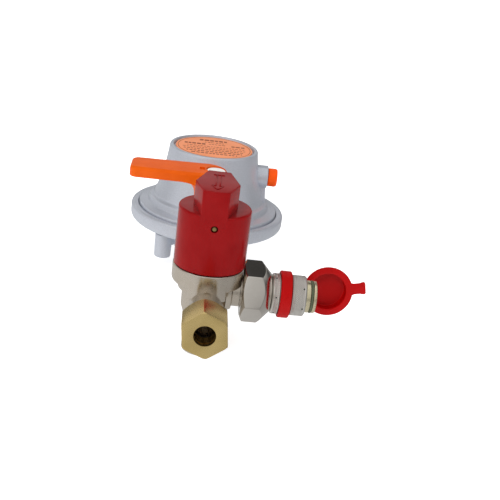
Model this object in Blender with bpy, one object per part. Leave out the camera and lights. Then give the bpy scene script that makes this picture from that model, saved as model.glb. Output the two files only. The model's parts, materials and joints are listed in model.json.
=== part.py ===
"""Low-pressure gas regulator set: a diaphragm regulator, a lever shut-off valve, a valve block with an
impact-sensitive shutter under a red cap, a compression outlet and a quick test coupling with a dust cap.

Frame: origin at the centre of the regulator's flat underside, +Z up its axis, -Y towards the outlet nut.
Lengths in this script are millimetres; solid() turns them into metres.
"""

import math

import bmesh
import bpy
from mathutils import Matrix, Vector

MM = 0.001
GAP = 0.3

# Main axes
PIPE_Z = 11.0
VALVE_Y = -73.5
BLOCK_Y = -113.2
OUTLET_Z = 27.0
COUPLING_Z = 29.6

# Regulator
RIM_R = 39.9
FLANGE_R = 36.0
LEDGE_Z = 20.2
WELL_R = 13.5
WELL_FLOOR_Z = 3.0
FOOT_R = 15.5
BONNET_FOOT_Z = 21.6
BONNET_TOP_Z = 57.4
TOP_BORE_R = 17.6
LABEL_R = 19.8
BREATHER_Z = 44.0
BREATHER_END_X = 29.2
BOSS_X = 21.0
BOSS_Y = -25.0
BOSS_R = 4.15
BOSS_END_Z = 4.4
LIFT = 1.5

# Rocker that carries the diaphragm's travel to the valve pad
ROCKER_Y = 6.0
ROCKER_Z = 6.2
ARM_HALF = 0.8

# Inlet
INLET_AF = 21.0
INLET_R = 10.0
INLET_END_Y = 62.0
INLET_BORE_R = 3.5
NOZZLE_LIP_Y = 10.75

# Shut-off valve
BALL_R = 6.3
BALL_BORE_R = 3.6
SPINDLE_R = 3.0
SPINDLE_TOP_Z = 61.9
LEVER_TOP_Z = 67.2
LEVER_THICK = 4.6
LEVER_TIP_X = -36.7
LEVER_HUB_R = 8.6
LEVER_TIP_HALF = 7.3
LEVER_CORNER_R = 3.0

# Outlet nut for 8 mm pipe
NUT_AF = 17.0
NUT_FACE_Y = -151.4
NUT_BACK_Y = -137.4
NUT_TURN = 0.117
PIPE_R = 4.1
THREAD_R = 6.8

# Red cap
COLLAR_R = 14.6
CAP_FOOT_Z = 40.5
CAP_SHOULDER_Z = 64.5
CAP_TOP_Z = 75.0
CAP_FOOT_R = 14.4
CAP_SHOULDER_R = 14.4
HEAD_TURN = math.radians(-2.8)
SHUTTER_DROP = 1.6

# Test coupling, along +X
UNION_AF = 22.2
UNION_X = 14.0
UNION_TURN = math.radians(40.0)
SLEEVE_X = 26.3
SLEEVE_END_X = 40.2
SLEEVE_R = 8.35
LOCKING_BALLS = 3
LOCKING_BALL_X = 36.0
LOCKING_BALL_TURN = 0.2
NIPPLE_R = 6.6
NIPPLE_END_X = 44.6
NIPPLE_BORE_R = 3.1

# Dust cap, shown hanging open beside the coupling
HINGE_X = 41.0
HINGE_R = 10.45
HINGE_TILT = math.radians(-8.0)
DUST_CAP_R = 10.55
DUST_CUP_R = 7.7
DUST_CUP_DEPTH = 4.4
DUST_TAB_TURN = math.radians(-11.0)


# ---------------------------------------------------------------- helpers


def clear_scene():
    for old in list(bpy.data.objects):
        bpy.data.objects.remove(old, do_unlink=True)


def material(name, colour, roughness, metallic):
    made = bpy.data.materials.new(name)
    made.use_nodes = True
    shader = made.node_tree.nodes["Principled BSDF"]
    shader.inputs["Base Color"].default_value = (*colour, 1.0)
    shader.inputs["Roughness"].default_value = roughness
    shader.inputs["Metallic"].default_value = metallic
    return made


def facing(axis, origin=(0.0, 0.0, 0.0)):
    """The matrix that lays a shape's own +Z along axis, with its own origin at origin."""
    turn = Vector((0, 0, 1)).rotation_difference(Vector(axis))
    return Matrix.Translation(origin) @ turn.to_matrix().to_4x4()


ALONG_X = facing((1, 0, 0))
ALONG_Y = facing((0, 1, 0))
ALONG_MINUS_Y = facing((0, -1, 0))


def steps_for(radius):
    """How many flats a round shape of this radius gets."""
    if radius < 4.0:
        return 10
    if radius < 7.5:
        return 16
    if radius < 20.0:
        return 22
    return 36


def turned(profile, place=None, steps=None):
    """A solid of revolution from (radius, height) points: a ring, or solid when it starts and ends at 0."""
    shape = bmesh.new()
    points = [shape.verts.new((radius, 0.0, height)) for radius, height in profile]
    on_axis = profile[0][0] == 0.0 and profile[-1][0] == 0.0
    pairs = list(zip(points, points[1:]))
    if not on_axis:
        pairs.append((points[-1], points[0]))
    edges = [shape.edges.new(pair) for pair in pairs]
    count = steps or steps_for(max(radius for radius, _ in profile))
    bmesh.ops.spin(
        shape,
        geom=points + edges,
        axis=(0, 0, 1),
        cent=(0, 0, 0),
        angle=math.tau,
        steps=count,
        use_merge=True,
    )
    bmesh.ops.remove_doubles(shape, verts=shape.verts, dist=1e-4)
    return placed(shape, place)


def prism(outline, low, high, place=None):
    """An outline of (x, y) points, extruded from low to high along the shape's own Z."""
    shape = bmesh.new()
    base = shape.faces.new([shape.verts.new((x, y, low)) for x, y in outline])
    risen = bmesh.ops.extrude_face_region(shape, geom=[base])["geom"]
    tops = [item for item in risen if isinstance(item, bmesh.types.BMVert)]
    bmesh.ops.translate(shape, verts=tops, vec=(0, 0, high - low))
    return placed(shape, place)


def face_outward(shape):
    bmesh.ops.recalc_face_normals(shape, faces=shape.faces)
    if shape.calc_volume(signed=True) < 0:
        bmesh.ops.reverse_faces(shape, faces=shape.faces)


def placed(shape, place):
    if place is not None:
        shape.transform(place)
    face_outward(shape)
    return shape


def box(low, high):
    return prism(
        [(low[0], low[1]), (high[0], low[1]), (high[0], high[1]), (low[0], high[1])],
        low[2],
        high[2],
    )


def rod(radius, low, high, place=None, steps=None):
    return turned([(0.0, low), (radius, low), (radius, high), (0.0, high)], place, steps)


def hexagon(across_flats, turn=0.0):
    corner = across_flats / math.sqrt(3.0)
    angles = [turn + index * math.tau / 6 for index in range(6)]
    return [(corner * math.cos(a), corner * math.sin(a)) for a in angles]


def ball(radius, centre, rings=10):
    shape = bmesh.new()
    bmesh.ops.create_uvsphere(shape, u_segments=2 * rings, v_segments=rings, radius=radius)
    return placed(shape, Matrix.Translation(centre))


def coil(radius, wire, low, high, turns, place=None, steps=12, sides=5):
    """A spring of round wire, wound around the shape's own Z from low to high."""
    shape = bmesh.new()
    count = int(turns * steps)
    rise = high - low - wire
    rings = []
    for index in range(count + 1):
        share = index / count
        angle = share * turns * math.tau
        out = Vector((math.cos(angle), math.sin(angle), 0))
        middle = out * radius + Vector((0, 0, low + wire / 2 + rise * share))
        ring = []
        for side in range(sides):
            around = side * math.tau / sides
            offset = out * math.cos(around) + Vector((0, 0, math.sin(around)))
            ring.append(shape.verts.new(middle + offset * wire / 2))
        rings.append(ring)
    for here, there in zip(rings, rings[1:]):
        for side in range(sides):
            after = (side + 1) % sides
            shape.faces.new((here[side], here[after], there[after], there[side]))
    shape.faces.new(rings[0])
    shape.faces.new(rings[-1])
    return placed(shape, place)


def combine(first, operation, *others):
    """The first shape, joined with, cut by or limited to each of the others in turn."""
    for other in others:
        holders = []
        for shape in (first, other):
            mesh = bpy.data.meshes.new("work")
            shape.to_mesh(mesh)
            shape.free()
            holder = bpy.data.objects.new("work", mesh)
            bpy.context.collection.objects.link(holder)
            holders.append(holder)
        modifier = holders[0].modifiers.new("combine", "BOOLEAN")
        modifier.operation = operation
        modifier.solver = "EXACT"
        modifier.object = holders[1]
        bpy.context.view_layer.update()
        graph = bpy.context.evaluated_depsgraph_get()
        result = holders[0].evaluated_get(graph).to_mesh()
        first = bmesh.new()
        first.from_mesh(result)
        holders[0].evaluated_get(graph).to_mesh_clear()
        for holder in holders:
            mesh = holder.data
            bpy.data.objects.remove(holder, do_unlink=True)
            bpy.data.meshes.remove(mesh)
        bmesh.ops.remove_doubles(first, verts=first.verts, dist=1e-4)
        bmesh.ops.dissolve_degenerate(first, edges=first.edges, dist=1e-4)
    return first


def union(first, *others):
    return combine(first, "UNION", *others)


def cut(first, *others):
    return combine(first, "DIFFERENCE", *others)


def common(first, *others):
    return combine(first, "INTERSECT", *others)


def solid(name, shape, finish, origin=(0.0, 0.0, 0.0)):
    """Makes the shape an object of this name, in metres, with its own origin at origin."""
    shape.transform(Matrix.Scale(MM, 4) @ Matrix.Translation(-Vector(origin)))
    bmesh.ops.triangulate(shape, faces=[face for face in shape.faces if len(face.verts) > 4])
    face_outward(shape)
    mesh = bpy.data.meshes.new(name)
    shape.to_mesh(mesh)
    shape.free()
    mesh.materials.append(finish)
    mesh.shade_smooth()
    mesh.set_sharp_from_angle(angle=math.radians(30))
    made = bpy.data.objects.new(name, mesh)
    made.location = Vector(origin) * MM
    bpy.context.collection.objects.link(made)
    return made


# ---------------------------------------------------------------- regulator

AT_PIPE = Matrix.Translation((0, 0, PIPE_Z)) @ ALONG_Y
AT_BREATHER = Matrix.Translation((0, 0, BREATHER_Z)) @ ALONG_X


def lower_housing(finish):
    outside = turned(
        [
            (0.0, 0.0),
            (FOOT_R - 1.0, 0.0),
            (FOOT_R, 1.0),
            (FOOT_R + 0.5, 9.6),
            (17.5, 10.8),
            (36.2, 17.2),
            (38.7, 17.9),
            (39.7, 19.0),
            (RIM_R, 20.4),
            (RIM_R, 23.0),
            (39.5, 24.2),
            (38.5, 24.9),
            (37.4, 24.9),
            (36.35, 24.2),
            (34.0, 23.0),
            (0.0, 23.0),
        ]
    )
    bosses = []
    for sign in (1, -1):
        centre = Vector((-BOSS_X, BOSS_Y, 0)) * sign
        bosses.append(rod(BOSS_R, BOSS_END_Z, 18.5, Matrix.Translation(centre), 20))
        inward = (-centre).normalized()
        across = Vector((-inward.y, inward.x, 0))
        inner = centre + inward * 20
        side = across * 1.4
        web = [centre + side, inner + side, inner - side, centre - side]
        bosses.append(prism([(point.x, point.y) for point in web], 9.0, 18.5))
    pipes = [rod(7.5, 10.0, 41.0, AT_PIPE), rod(8.5, -41.0, -10.0, AT_PIPE)]
    body = union(outside, *bosses, *pipes)
    inside = turned(
        [
            (0.0, WELL_FLOOR_Z),
            (WELL_R, WELL_FLOOR_Z),
            (WELL_R, 10.6),
            (17.0, 12.8),
            (33.0, 19.0),
            (33.0, LEDGE_Z),
            (FLANGE_R + 0.35, LEDGE_Z),
            (FLANGE_R + 0.35, 27.0),
            (0.0, 27.0),
        ]
    )
    inlet = turned(
        [(0.0, 8.0), (4.6, 8.0), (4.6, 31.0), (5.6, 31.0), (5.6, 42.0), (0.0, 42.0)], AT_PIPE
    )
    outlet = turned(
        [(0.0, -42.0), (6.6, -42.0), (6.6, -33.0), (4.0, -33.0), (4.0, -8.0), (0.0, -8.0)], AT_PIPE
    )
    holes = []
    for sign in (1, -1):
        place = Matrix.Translation((-BOSS_X * sign, BOSS_Y * sign, 0))
        holes.append(rod(2.1, 0.0, 13.5, place))
    body = cut(body, inside, inlet, outlet, *holes)
    return solid("lower_housing", body, finish)


def bonnet(finish):
    outside = turned(
        [
            (0.0, BONNET_FOOT_Z),
            (FLANGE_R, BONNET_FOOT_Z),
            (FLANGE_R, 25.5),
            (35.2, 26.3),
            (32.6, 26.9),
            (31.4, 27.6),
            (30.8, 29.4),
            (30.0, 30.3),
            (28.8, 30.8),
            (27.9, 32.0),
            (24.5, 44.0),
            (23.8, 48.5),
            (22.7, 55.6),
            (22.3, 56.9),
            (21.6, BONNET_TOP_Z),
            (0.0, BONNET_TOP_Z),
        ]
    )
    boss = rod(5.9, 20.0, BREATHER_END_X, AT_BREATHER)
    web = prism(
        [(20.0, 28.0), (30.0, 28.0), (29.3, 32.0), (28.7, 40.0), (28.7, 44.0), (20.0, 44.0)],
        -2.4,
        2.4,
        Matrix.Rotation(math.radians(90), 4, "X"),
    )
    body = union(outside, boss, web)
    inside = turned(
        [
            (0.0, 20.0),
            (33.0, 20.0),
            (33.0, BONNET_FOOT_Z),
            (31.5, 22.9),
            (27.4, 26.6),
            (26.6, 28.4),
            (22.4, 44.0),
            (21.7, 47.5),
            (TOP_BORE_R, 48.6),
            (TOP_BORE_R, 55.6),
            (LABEL_R + 0.4, 55.6),
            (LABEL_R + 0.5, 56.6),
            (LABEL_R + 1.2, 58.0),
            (0.0, 58.0),
        ]
    )
    vent = rod(3.2, 18.0, 31.0, AT_BREATHER)
    return solid("bonnet", cut(body, inside, vent), finish)


def adjusting_cap(finish):
    disc = turned(
        [
            (0.0, 50.2),
            (16.6, 50.2),
            (17.2, 50.8),
            (17.2, 54.2),
            (16.6, 54.8),
            (8.5, 54.8),
            (8.5, 53.0),
            (0.0, 53.0),
        ]
    )
    socket = prism(hexagon(8.0), 51.2, 54.0)
    return solid("adjusting_cap", cut(disc, socket), finish)


def diaphragm(finish):
    sheet = turned(
        [
            (FLANGE_R, 20.5),
            (FLANGE_R, 21.3),
            (31.4, 21.3),
            (29.6, 22.9),
            (26.2, 22.9),
            (24.2, 21.3),
            (2.4, 21.3),
            (2.4, 20.5),
            (24.6, 20.5),
            (26.6, 22.1),
            (29.2, 22.1),
            (31.0, 20.5),
        ],
        steps=28,
    )
    return solid("diaphragm", sheet, finish)


def diaphragm_plate(finish):
    dish = turned(
        [(2.4, 21.6), (18.9, 21.6), (19.6, 24.4), (18.8, 24.4), (18.2, 22.7), (2.4, 22.7)]
    )
    return solid("diaphragm_plate", dish, finish)


def diaphragm_stem(finish):
    """A flanged rod with a yoke at its foot, which the rocker's long arm sits in."""
    shaft = turned(
        [(0.0, 17.5), (2.0, 17.5), (8.0, 19.2), (8.0, 20.2), (2.0, 20.2), (2.0, 36.0), (0.0, 36.0)]
    )
    yoke = box((-3.0, -1.5, WELL_FLOOR_Z + 0.4), (3.0, 1.5, 18.6))
    window = box((-1.6, -3.0, ROCKER_Z - 1.5), (1.6, 3.0, ROCKER_Z + 1.5))
    return solid("diaphragm_stem", cut(union(shaft, yoke), window), finish)


def rocker_lever(finish):
    """A bell crank: the long arm under the yoke, the short arm up in the slider."""
    pivot = (0.0, ROCKER_Y, ROCKER_Z)
    hub = rod(2.1, -2.8, 2.8, Matrix.Translation(pivot) @ ALONG_X, 16)
    long_arm = box((-1.2, -0.9, ROCKER_Z - ARM_HALF), (1.2, ROCKER_Y, ROCKER_Z + ARM_HALF))
    short_arm = box((-1.2, ROCKER_Y - ARM_HALF, ROCKER_Z), (1.2, ROCKER_Y + ARM_HALF, PIPE_Z + 1.2))
    pin_hole = rod(1.2, -4.0, 4.0, Matrix.Translation(pivot) @ ALONG_X)
    return solid("rocker_lever", cut(union(hub, long_arm, short_arm), pin_hole), finish, pivot)


def rocker_pin(finish):
    place = Matrix.Translation((0.0, ROCKER_Y, ROCKER_Z)) @ ALONG_X
    return solid("rocker_pin", rod(0.9, -5.2, 5.2, place), finish)


def valve_slider(finish):
    block = box((-3.0, 2.6, PIPE_Z - 1.8), (3.0, 8.2, PIPE_Z + 1.8))
    slot = box((-1.6, ROCKER_Y - 1.6, PIPE_Z - 3.0), (1.6, ROCKER_Y + 1.6, PIPE_Z + 3.0))
    return solid("valve_slider", cut(block, slot), finish)


def valve_pad(finish):
    return solid("valve_pad", rod(1.7, 8.5, 9.3, AT_PIPE, 16), finish)


def inlet_nozzle(finish):
    """The seat that the pad closes, with two arms that guide the slider and hold the rocker's pin."""
    plate = box((-4.8, 11.1, 4.2), (4.8, 12.2, PIPE_Z + 3.6))
    arms = [
        box((side * 4.05 - 0.75, 2.5, 4.2), (side * 4.05 + 0.75, 11.6, PIPE_Z + 1.8)) for side in (1, -1)
    ]
    stem = rod(4.3, 11.6, 30.6, AT_PIPE)
    lip = rod(1.7, NOZZLE_LIP_Y, 11.6, AT_PIPE, 16)
    body = union(plate, *arms, stem, lip)
    throat = turned(
        [(0.0, 9.0), (0.9, 9.0), (0.9, 15.0), (2.6, 18.0), (2.6, 32.0), (0.0, 32.0)], AT_PIPE
    )
    pin_place = Matrix.Translation((0.0, ROCKER_Y, ROCKER_Z)) @ ALONG_X
    return solid("inlet_nozzle", cut(body, throat, rod(1.2, -7.0, 7.0, pin_place)), finish)


def inlet_connector(finish):
    tail = turned([(0.0, 31.4), (5.3, 31.4), (5.3, 42.0), (0.0, 42.0)], AT_PIPE)
    collar = prism(hexagon(INLET_AF), 41.3, 48.0, AT_PIPE)
    spigot = turned(
        [
            (0.0, 47.0),
            (INLET_R - 0.8, 47.0),
            (INLET_R - 0.8, 48.6),
            (INLET_R, 49.6),
            (INLET_R, INLET_END_Y - 1.0),
            (INLET_R - 0.8, INLET_END_Y),
            (0.0, INLET_END_Y),
        ],
        AT_PIPE,
    )
    bore = rod(INLET_BORE_R, 30.0, 63.0, AT_PIPE, 20)
    return solid("inlet_connector", cut(union(tail, collar, spigot), bore), finish)


def inlet_filter(finish):
    return solid("inlet_filter", rod(INLET_BORE_R - GAP, 36.0, 40.0, AT_PIPE), finish)


def label_disc(finish):
    return solid("label_disc", rod(LABEL_R, 55.9, 56.7), finish)


def breather_plug(finish):
    plug = turned(
        [
            (0.8, 24.6),
            (2.9, 24.6),
            (2.9, 29.5),
            (4.7, 29.5),
            (4.7, 33.4),
            (4.0, 34.2),
            (0.8, 34.2),
        ],
        AT_BREATHER,
    )
    return solid("breather_plug", plug, finish)


def breather_filter(finish):
    return solid("breather_filter", rod(2.9, 23.2, 24.2, AT_BREATHER), finish)


def relief_nut(finish):
    nut = cut(prism(hexagon(7.0), 31.6, 34.4), rod(2.3, 30.0, 36.0))
    return solid("relief_nut", nut, finish)


# ---------------------------------------------------------------- shut-off valve

SPINDLE = (0.0, VALVE_Y, 0.0)
AT_SPINDLE = Matrix.Translation(SPINDLE)


def valve_body(finish):
    pipe = turned(
        [(0.0, -84.0), (8.5, -84.0), (8.5, -41.3), (6.3, -41.3), (6.3, -33.4), (0.0, -33.4)], AT_PIPE
    )
    tower = rod(7.4, PIPE_Z, 30.0, AT_SPINDLE, 24)
    body = union(pipe, tower)
    chamber = turned(
        [(0.0, -85.0), (6.8, -85.0), (6.8, -66.2), (4.0, -66.2), (4.0, -32.0), (0.0, -32.0)], AT_PIPE
    )
    stem_hole = turned(
        [(0.0, PIPE_Z), (3.4, PIPE_Z), (3.4, 22.8), (5.2, 22.8), (5.2, 31.0), (0.0, 31.0)],
        AT_SPINDLE,
    )
    return solid("valve_body", cut(body, chamber, stem_hole), finish)


def valve_tailpiece(finish):
    pipe = turned(
        [
            (4.0, -103.8),
            (6.1, -103.8),
            (6.1, -90.0),
            (8.5, -90.0),
            (8.5, -84.3),
            (6.5, -84.3),
            (6.5, -80.9),
            (4.0, -80.9),
        ],
        AT_PIPE,
    )
    return solid("valve_tailpiece", pipe, finish)


def ball_seat(name, side, finish):
    """A ring whose inner face follows the ball; side is -1 towards the block, +1 towards the regulator."""
    reach = BALL_R + GAP
    profile = [(6.5, 7.0), (4.2, 7.0)]
    for radius in (4.2, 4.9, 5.6, 6.2):
        profile.append((radius, math.sqrt(reach**2 - radius**2)))
    profile.append((6.5, profile[-1][1]))
    axis = ALONG_Y if side > 0 else ALONG_MINUS_Y
    ring = turned(profile, Matrix.Translation((0, VALVE_Y, PIPE_Z)) @ axis)
    return solid(name, ring, finish)


def shutoff_ball(finish):
    """Shown closed: its bore lies along X, square to the pipe, as the lever does."""
    centre = (0.0, VALVE_Y, PIPE_Z)
    bore = rod(BALL_BORE_R, -8.0, 8.0, Matrix.Translation(centre) @ ALONG_X, 20)
    slot = box((-8.0, VALVE_Y - 1.4, PIPE_Z + 4.2), (8.0, VALVE_Y + 1.4, PIPE_Z + 8.0))
    return solid("shutoff_ball", cut(ball(BALL_R, centre), bore, slot), finish, SPINDLE)


def valve_spindle(finish):
    shaft = rod(SPINDLE_R, PIPE_Z + 6.9, SPINDLE_TOP_Z, AT_SPINDLE, 16)
    tang = box((-1.9, VALVE_Y - 1.1, PIPE_Z + 4.6), (1.9, VALVE_Y + 1.1, PIPE_Z + 8.0))
    tapped = rod(2.0, 54.0, 63.0, AT_SPINDLE)
    return solid("valve_spindle", cut(union(shaft, tang), tapped), finish, SPINDLE)


def spindle_o_ring(finish):
    ring = turned(
        [(3.3, 23.3), (4.1, 23.1), (4.9, 23.3), (4.9, 24.7), (4.1, 24.9), (3.3, 24.7)], AT_SPINDLE
    )
    return solid("spindle_o_ring", ring, finish, SPINDLE)


def gland_nut(finish):
    head = prism(hexagon(14.0), 30.3, 36.5, AT_SPINDLE)
    thread = rod(4.9, 25.2, 31.0, AT_SPINDLE)
    return solid("gland_nut", cut(union(head, thread), rod(3.35, 24.0, 38.0, AT_SPINDLE)), finish)


def lever_handle(finish):
    """A moulded handle: a long flat arm towards -X and a hub with a hollow skirt over the gland."""
    half = LEVER_HUB_R
    outline = []
    for index in range(13):
        angle = math.radians(-90 + 180 * index / 12)
        outline.append((-3.8 + half * math.cos(angle), half * math.sin(angle)))
    corner = LEVER_CORNER_R
    front = -half
    back = LEVER_TIP_HALF
    for centre_y, start in ((back - corner, 90), (front + corner, 180)):
        for index in range(4):
            angle = math.radians(start + 30 * index)
            x = LEVER_TIP_X + corner + corner * math.cos(angle)
            outline.append((x, centre_y + corner * math.sin(angle)))
    arm = prism(outline, LEVER_TOP_Z - LEVER_THICK, LEVER_TOP_Z, AT_SPINDLE)
    skirt = turned(
        [
            (0.0, 44.0),
            (half, 44.0),
            (half, 57.5),
            (9.2, 59.5),
            (10.4, 61.2),
            (12.0, 62.3),
            (12.0, 63.4),
            (0.0, 63.4),
        ],
        AT_SPINDLE,
    )
    keep = prism(
        [(-14.0, -half + 0.05), (4.7, -half + 0.05), (4.7, half - 0.05), (-14.0, half - 0.05)],
        43.0,
        65.0,
        AT_SPINDLE,
    )
    body = union(arm, common(skirt, keep))
    hollow = turned(
        [
            (0.0, 43.0),
            (6.9, 43.0),
            (6.9, 56.5),
            (3.3, 58.5),
            (3.3, 62.1),
            (4.4, 62.1),
            (4.4, 68.0),
            (0.0, 68.0),
        ],
        AT_SPINDLE,
    )
    return solid("lever_handle", cut(body, hollow), finish, SPINDLE)


def lever_screw(finish):
    screw = turned(
        [(0.0, 55.0), (1.7, 55.0), (1.7, 62.2), (3.6, 62.2), (3.6, 64.4), (0.0, 64.4)], AT_SPINDLE
    )
    return solid("lever_screw", screw, finish, SPINDLE)


def lever_cover(finish):
    return solid("lever_cover", rod(4.05, 64.8, 66.8, AT_SPINDLE, 24), finish, SPINDLE)


# ---------------------------------------------------------------- valve block and red cap

AT_BLOCK = Matrix.Translation((0, BLOCK_Y, 0))
AT_OUTLET = Matrix.Translation((0, 0, OUTLET_Z)) @ ALONG_Y
AT_COUPLING = Matrix.Translation((0, BLOCK_Y, COUPLING_Z)) @ ALONG_X


def valve_block(finish):
    core = turned(
        [
            (0.0, 14.0),
            (7.4, 14.0),
            (8.9, 19.0),
            (9.8, 21.5),
            (9.8, 28.6),
            (11.8, 29.8),
            (11.8, 33.0),
            (13.9, 33.0),
            (COLLAR_R, 33.8),
            (COLLAR_R, 40.2),
            (11.3, 40.2),
            (11.3, 46.5),
            (0.0, 46.5),
        ],
        AT_BLOCK,
    )
    foot = rod(7.8, 0.0, 18.0, Matrix.Translation((0, BLOCK_Y + 3.2, 0)), 28)
    rear = rod(8.3, BLOCK_Y + 1.0, -90.6, AT_PIPE)
    front = turned(
        [
            (0.0, -147.5),
            (THREAD_R - 0.5, -147.5),
            (THREAD_R, -147.0),
            (THREAD_R, -138.0),
            (6.5, -136.5),
            (6.5, BLOCK_Y),
            (0.0, BLOCK_Y),
        ],
        AT_OUTLET,
    )
    nut_room = rod(13.4, UNION_X - 0.4, 20.0, AT_COUPLING)
    side = turned(
        [
            (0.0, 0.0),
            (8.2, 0.0),
            (8.2, 10.3),
            (6.75, 10.3),
            (6.75, 13.4),
            (6.5, 13.6),
            (6.5, 19.6),
            (6.0, 20.1),
            (0.0, 20.1),
        ],
        AT_COUPLING,
    )
    body = union(cut(core, nut_room), foot, rear, front, side)
    rear_port = turned(
        [
            (0.0, BLOCK_Y - 3.0),
            (3.0, BLOCK_Y - 3.0),
            (3.0, -104.6),
            (6.4, -104.6),
            (6.4, -89.0),
            (0.0, -89.0),
        ],
        AT_PIPE,
    )
    chamber = turned(
        [(0.0, 8.0), (2.9, 8.0), (2.9, 20.5), (5.2, 20.5), (5.2, 48.0), (0.0, 48.0)], AT_BLOCK
    )
    outlet_port = turned(
        [
            (0.0, -149.0),
            (6.4, -147.6),
            (4.4, -142.0),
            (4.2, -139.5),
            (3.0, -139.5),
            (3.0, BLOCK_Y),
            (0.0, BLOCK_Y),
        ],
        AT_OUTLET,
    )
    side_port = rod(3.0, 0.0, 21.0, AT_COUPLING)
    return solid("valve_block", cut(body, rear_port, chamber, outlet_port, side_port), finish)


def cap_head_outline():
    """The long six-sided head of the red cap, about the cap's axis; its end flats stand on the wall."""
    return [(-5.1, -13.1), (5.1, -13.1), (8.7, -1.8), (4.6, 13.1), (-4.6, 13.1), (-8.7, -1.8)]


def red_cap(finish):
    shell = turned(
        [
            (0.0, CAP_FOOT_Z),
            (CAP_FOOT_R, CAP_FOOT_Z),
            (CAP_SHOULDER_R, CAP_SHOULDER_Z - 0.6),
            (CAP_SHOULDER_R - 0.6, CAP_SHOULDER_Z),
            (0.0, CAP_SHOULDER_Z),
        ],
        AT_BLOCK,
        36,
    )
    head = prism(cap_head_outline(), 60.0, CAP_TOP_Z, AT_BLOCK @ Matrix.Rotation(HEAD_TURN, 4, "Z"))
    inside = turned(
        [(0.0, 39.0), (11.7, 39.0), (11.7, 62.0), (6.4, 62.0), (6.4, 71.0), (0.0, 71.0)], AT_BLOCK
    )
    pin_hole = rod(1.4, -129.0, -120.0, Matrix.Translation((0, 0, 59.9)) @ ALONG_Y)
    return solid("red_cap", cut(union(shell, head), inside, pin_hole), finish)


def cap_lock_pin(finish):
    pin = turned(
        [(0.0, -127.5), (0.7, -127.3), (1.1, -126.8), (1.1, -124.3), (0.0, -124.3)],
        Matrix.Translation((0, 0, 59.9)) @ ALONG_Y,
    )
    return solid("cap_lock_pin", pin, finish)


def shutter_guide(finish):
    guide = turned(
        [(2.0, 38.2), (4.9, 38.2), (4.9, 47.6), (10.6, 47.6), (10.6, 50.0), (2.0, 50.0)], AT_BLOCK
    )
    return solid("shutter_guide", guide, finish)


def guide_seal(finish):
    return solid(
        "guide_seal", turned([(5.6, 46.8), (10.6, 46.8), (10.6, 47.3), (5.6, 47.3)], AT_BLOCK), finish
    )


def sensor_cup(finish):
    cup = turned(
        [
            (9.2, 50.3),
            (10.6, 50.3),
            (10.6, 61.0),
            (9.8, 61.0),
            (9.8, 57.6),
            (3.0, 55.8),
            (0.0, 55.6),
            (0.0, 54.2),
            (8.4, 54.2),
            (9.2, 53.4),
        ],
        AT_BLOCK,
    )
    return solid("sensor_cup", cup, finish)


def sensor_ball(finish):
    return solid("sensor_ball", ball(4.0, (0, BLOCK_Y, 60.2), 6), finish)


def shutter_plunger(finish):
    plunger = turned(
        [
            (0.0, 25.5),
            (4.4, 25.5),
            (4.4, 27.0),
            (1.7, 27.0),
            (1.7, 50.2 + SHUTTER_DROP),
            (3.2, 50.8 + SHUTTER_DROP),
            (3.2, 53.6),
            (0.0, 53.6),
        ],
        AT_BLOCK,
    )
    return solid("shutter_plunger", plunger, finish)


def shutter_pad(finish):
    return solid("shutter_pad", rod(4.2, 24.0, 25.2, AT_BLOCK), finish)


def shutter_seat(finish):
    ring = turned([(2.6, 20.8), (4.9, 20.8), (4.9, 21.7), (3.3, 22.1), (2.6, 22.1)], AT_BLOCK)
    return solid("shutter_seat", ring, finish)


# ---------------------------------------------------------------- outlet


def outlet_nut(finish):
    flats = prism(hexagon(NUT_AF, math.radians(90)), NUT_FACE_Y, NUT_BACK_Y)
    corner = NUT_AF / math.sqrt(3.0)
    chamfer = turned(
        [
            (0.0, NUT_FACE_Y),
            (corner - 0.7, NUT_FACE_Y),
            (corner + 0.3, NUT_FACE_Y + 0.8),
            (corner + 0.3, NUT_BACK_Y - 3.0),
            (NUT_AF / 2 - 0.4, NUT_BACK_Y),
            (0.0, NUT_BACK_Y),
        ],
        steps=36,
    )
    inside = turned(
        [
            (0.0, NUT_FACE_Y - 1.0),
            (PIPE_R, NUT_FACE_Y - 1.0),
            (PIPE_R, -149.8),
            (7.1, -149.4),
            (7.1, NUT_BACK_Y + 1.0),
            (0.0, NUT_BACK_Y + 1.0),
        ]
    )
    nut = cut(common(flats, chamfer), inside)
    nut.transform(AT_OUTLET @ Matrix.Rotation(-NUT_TURN, 4, "Z"))
    return solid("outlet_nut", nut, finish, (0, NUT_BACK_Y, OUTLET_Z))


def cutting_ring(finish):
    ring = turned(
        [(4.15, -149.1), (6.3, -149.1), (6.3, -148.2), (4.9, -144.5), (4.15, -144.5)], AT_OUTLET
    )
    return solid("cutting_ring", ring, finish)


# ---------------------------------------------------------------- test coupling


def union_nut(finish):
    flats = prism(hexagon(UNION_AF, UNION_TURN), UNION_X, 26.0)
    corner = UNION_AF / math.sqrt(3.0)
    shape = turned(
        [
            (0.0, UNION_X),
            (10.0, UNION_X),
            (corner + 0.2, UNION_X + 1.4),
            (corner + 0.2, 21.2),
            (7.8, 26.0),
            (0.0, 26.0),
        ],
        steps=36,
    )
    inside = turned(
        [(0.0, 12.0), (6.9, 12.0), (6.9, 23.6), (5.6, 23.6), (5.6, 27.0), (0.0, 27.0)]
    )
    nut = cut(common(flats, shape), inside)
    nut.transform(AT_COUPLING)
    return solid("union_nut", nut, finish, (UNION_X, BLOCK_Y, COUPLING_Z))


def union_seal(finish):
    ring = turned([(3.2, 20.4), (6.4, 20.4), (6.4, 21.3), (3.2, 21.3)], AT_COUPLING)
    return solid("union_seal", ring, finish)


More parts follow.
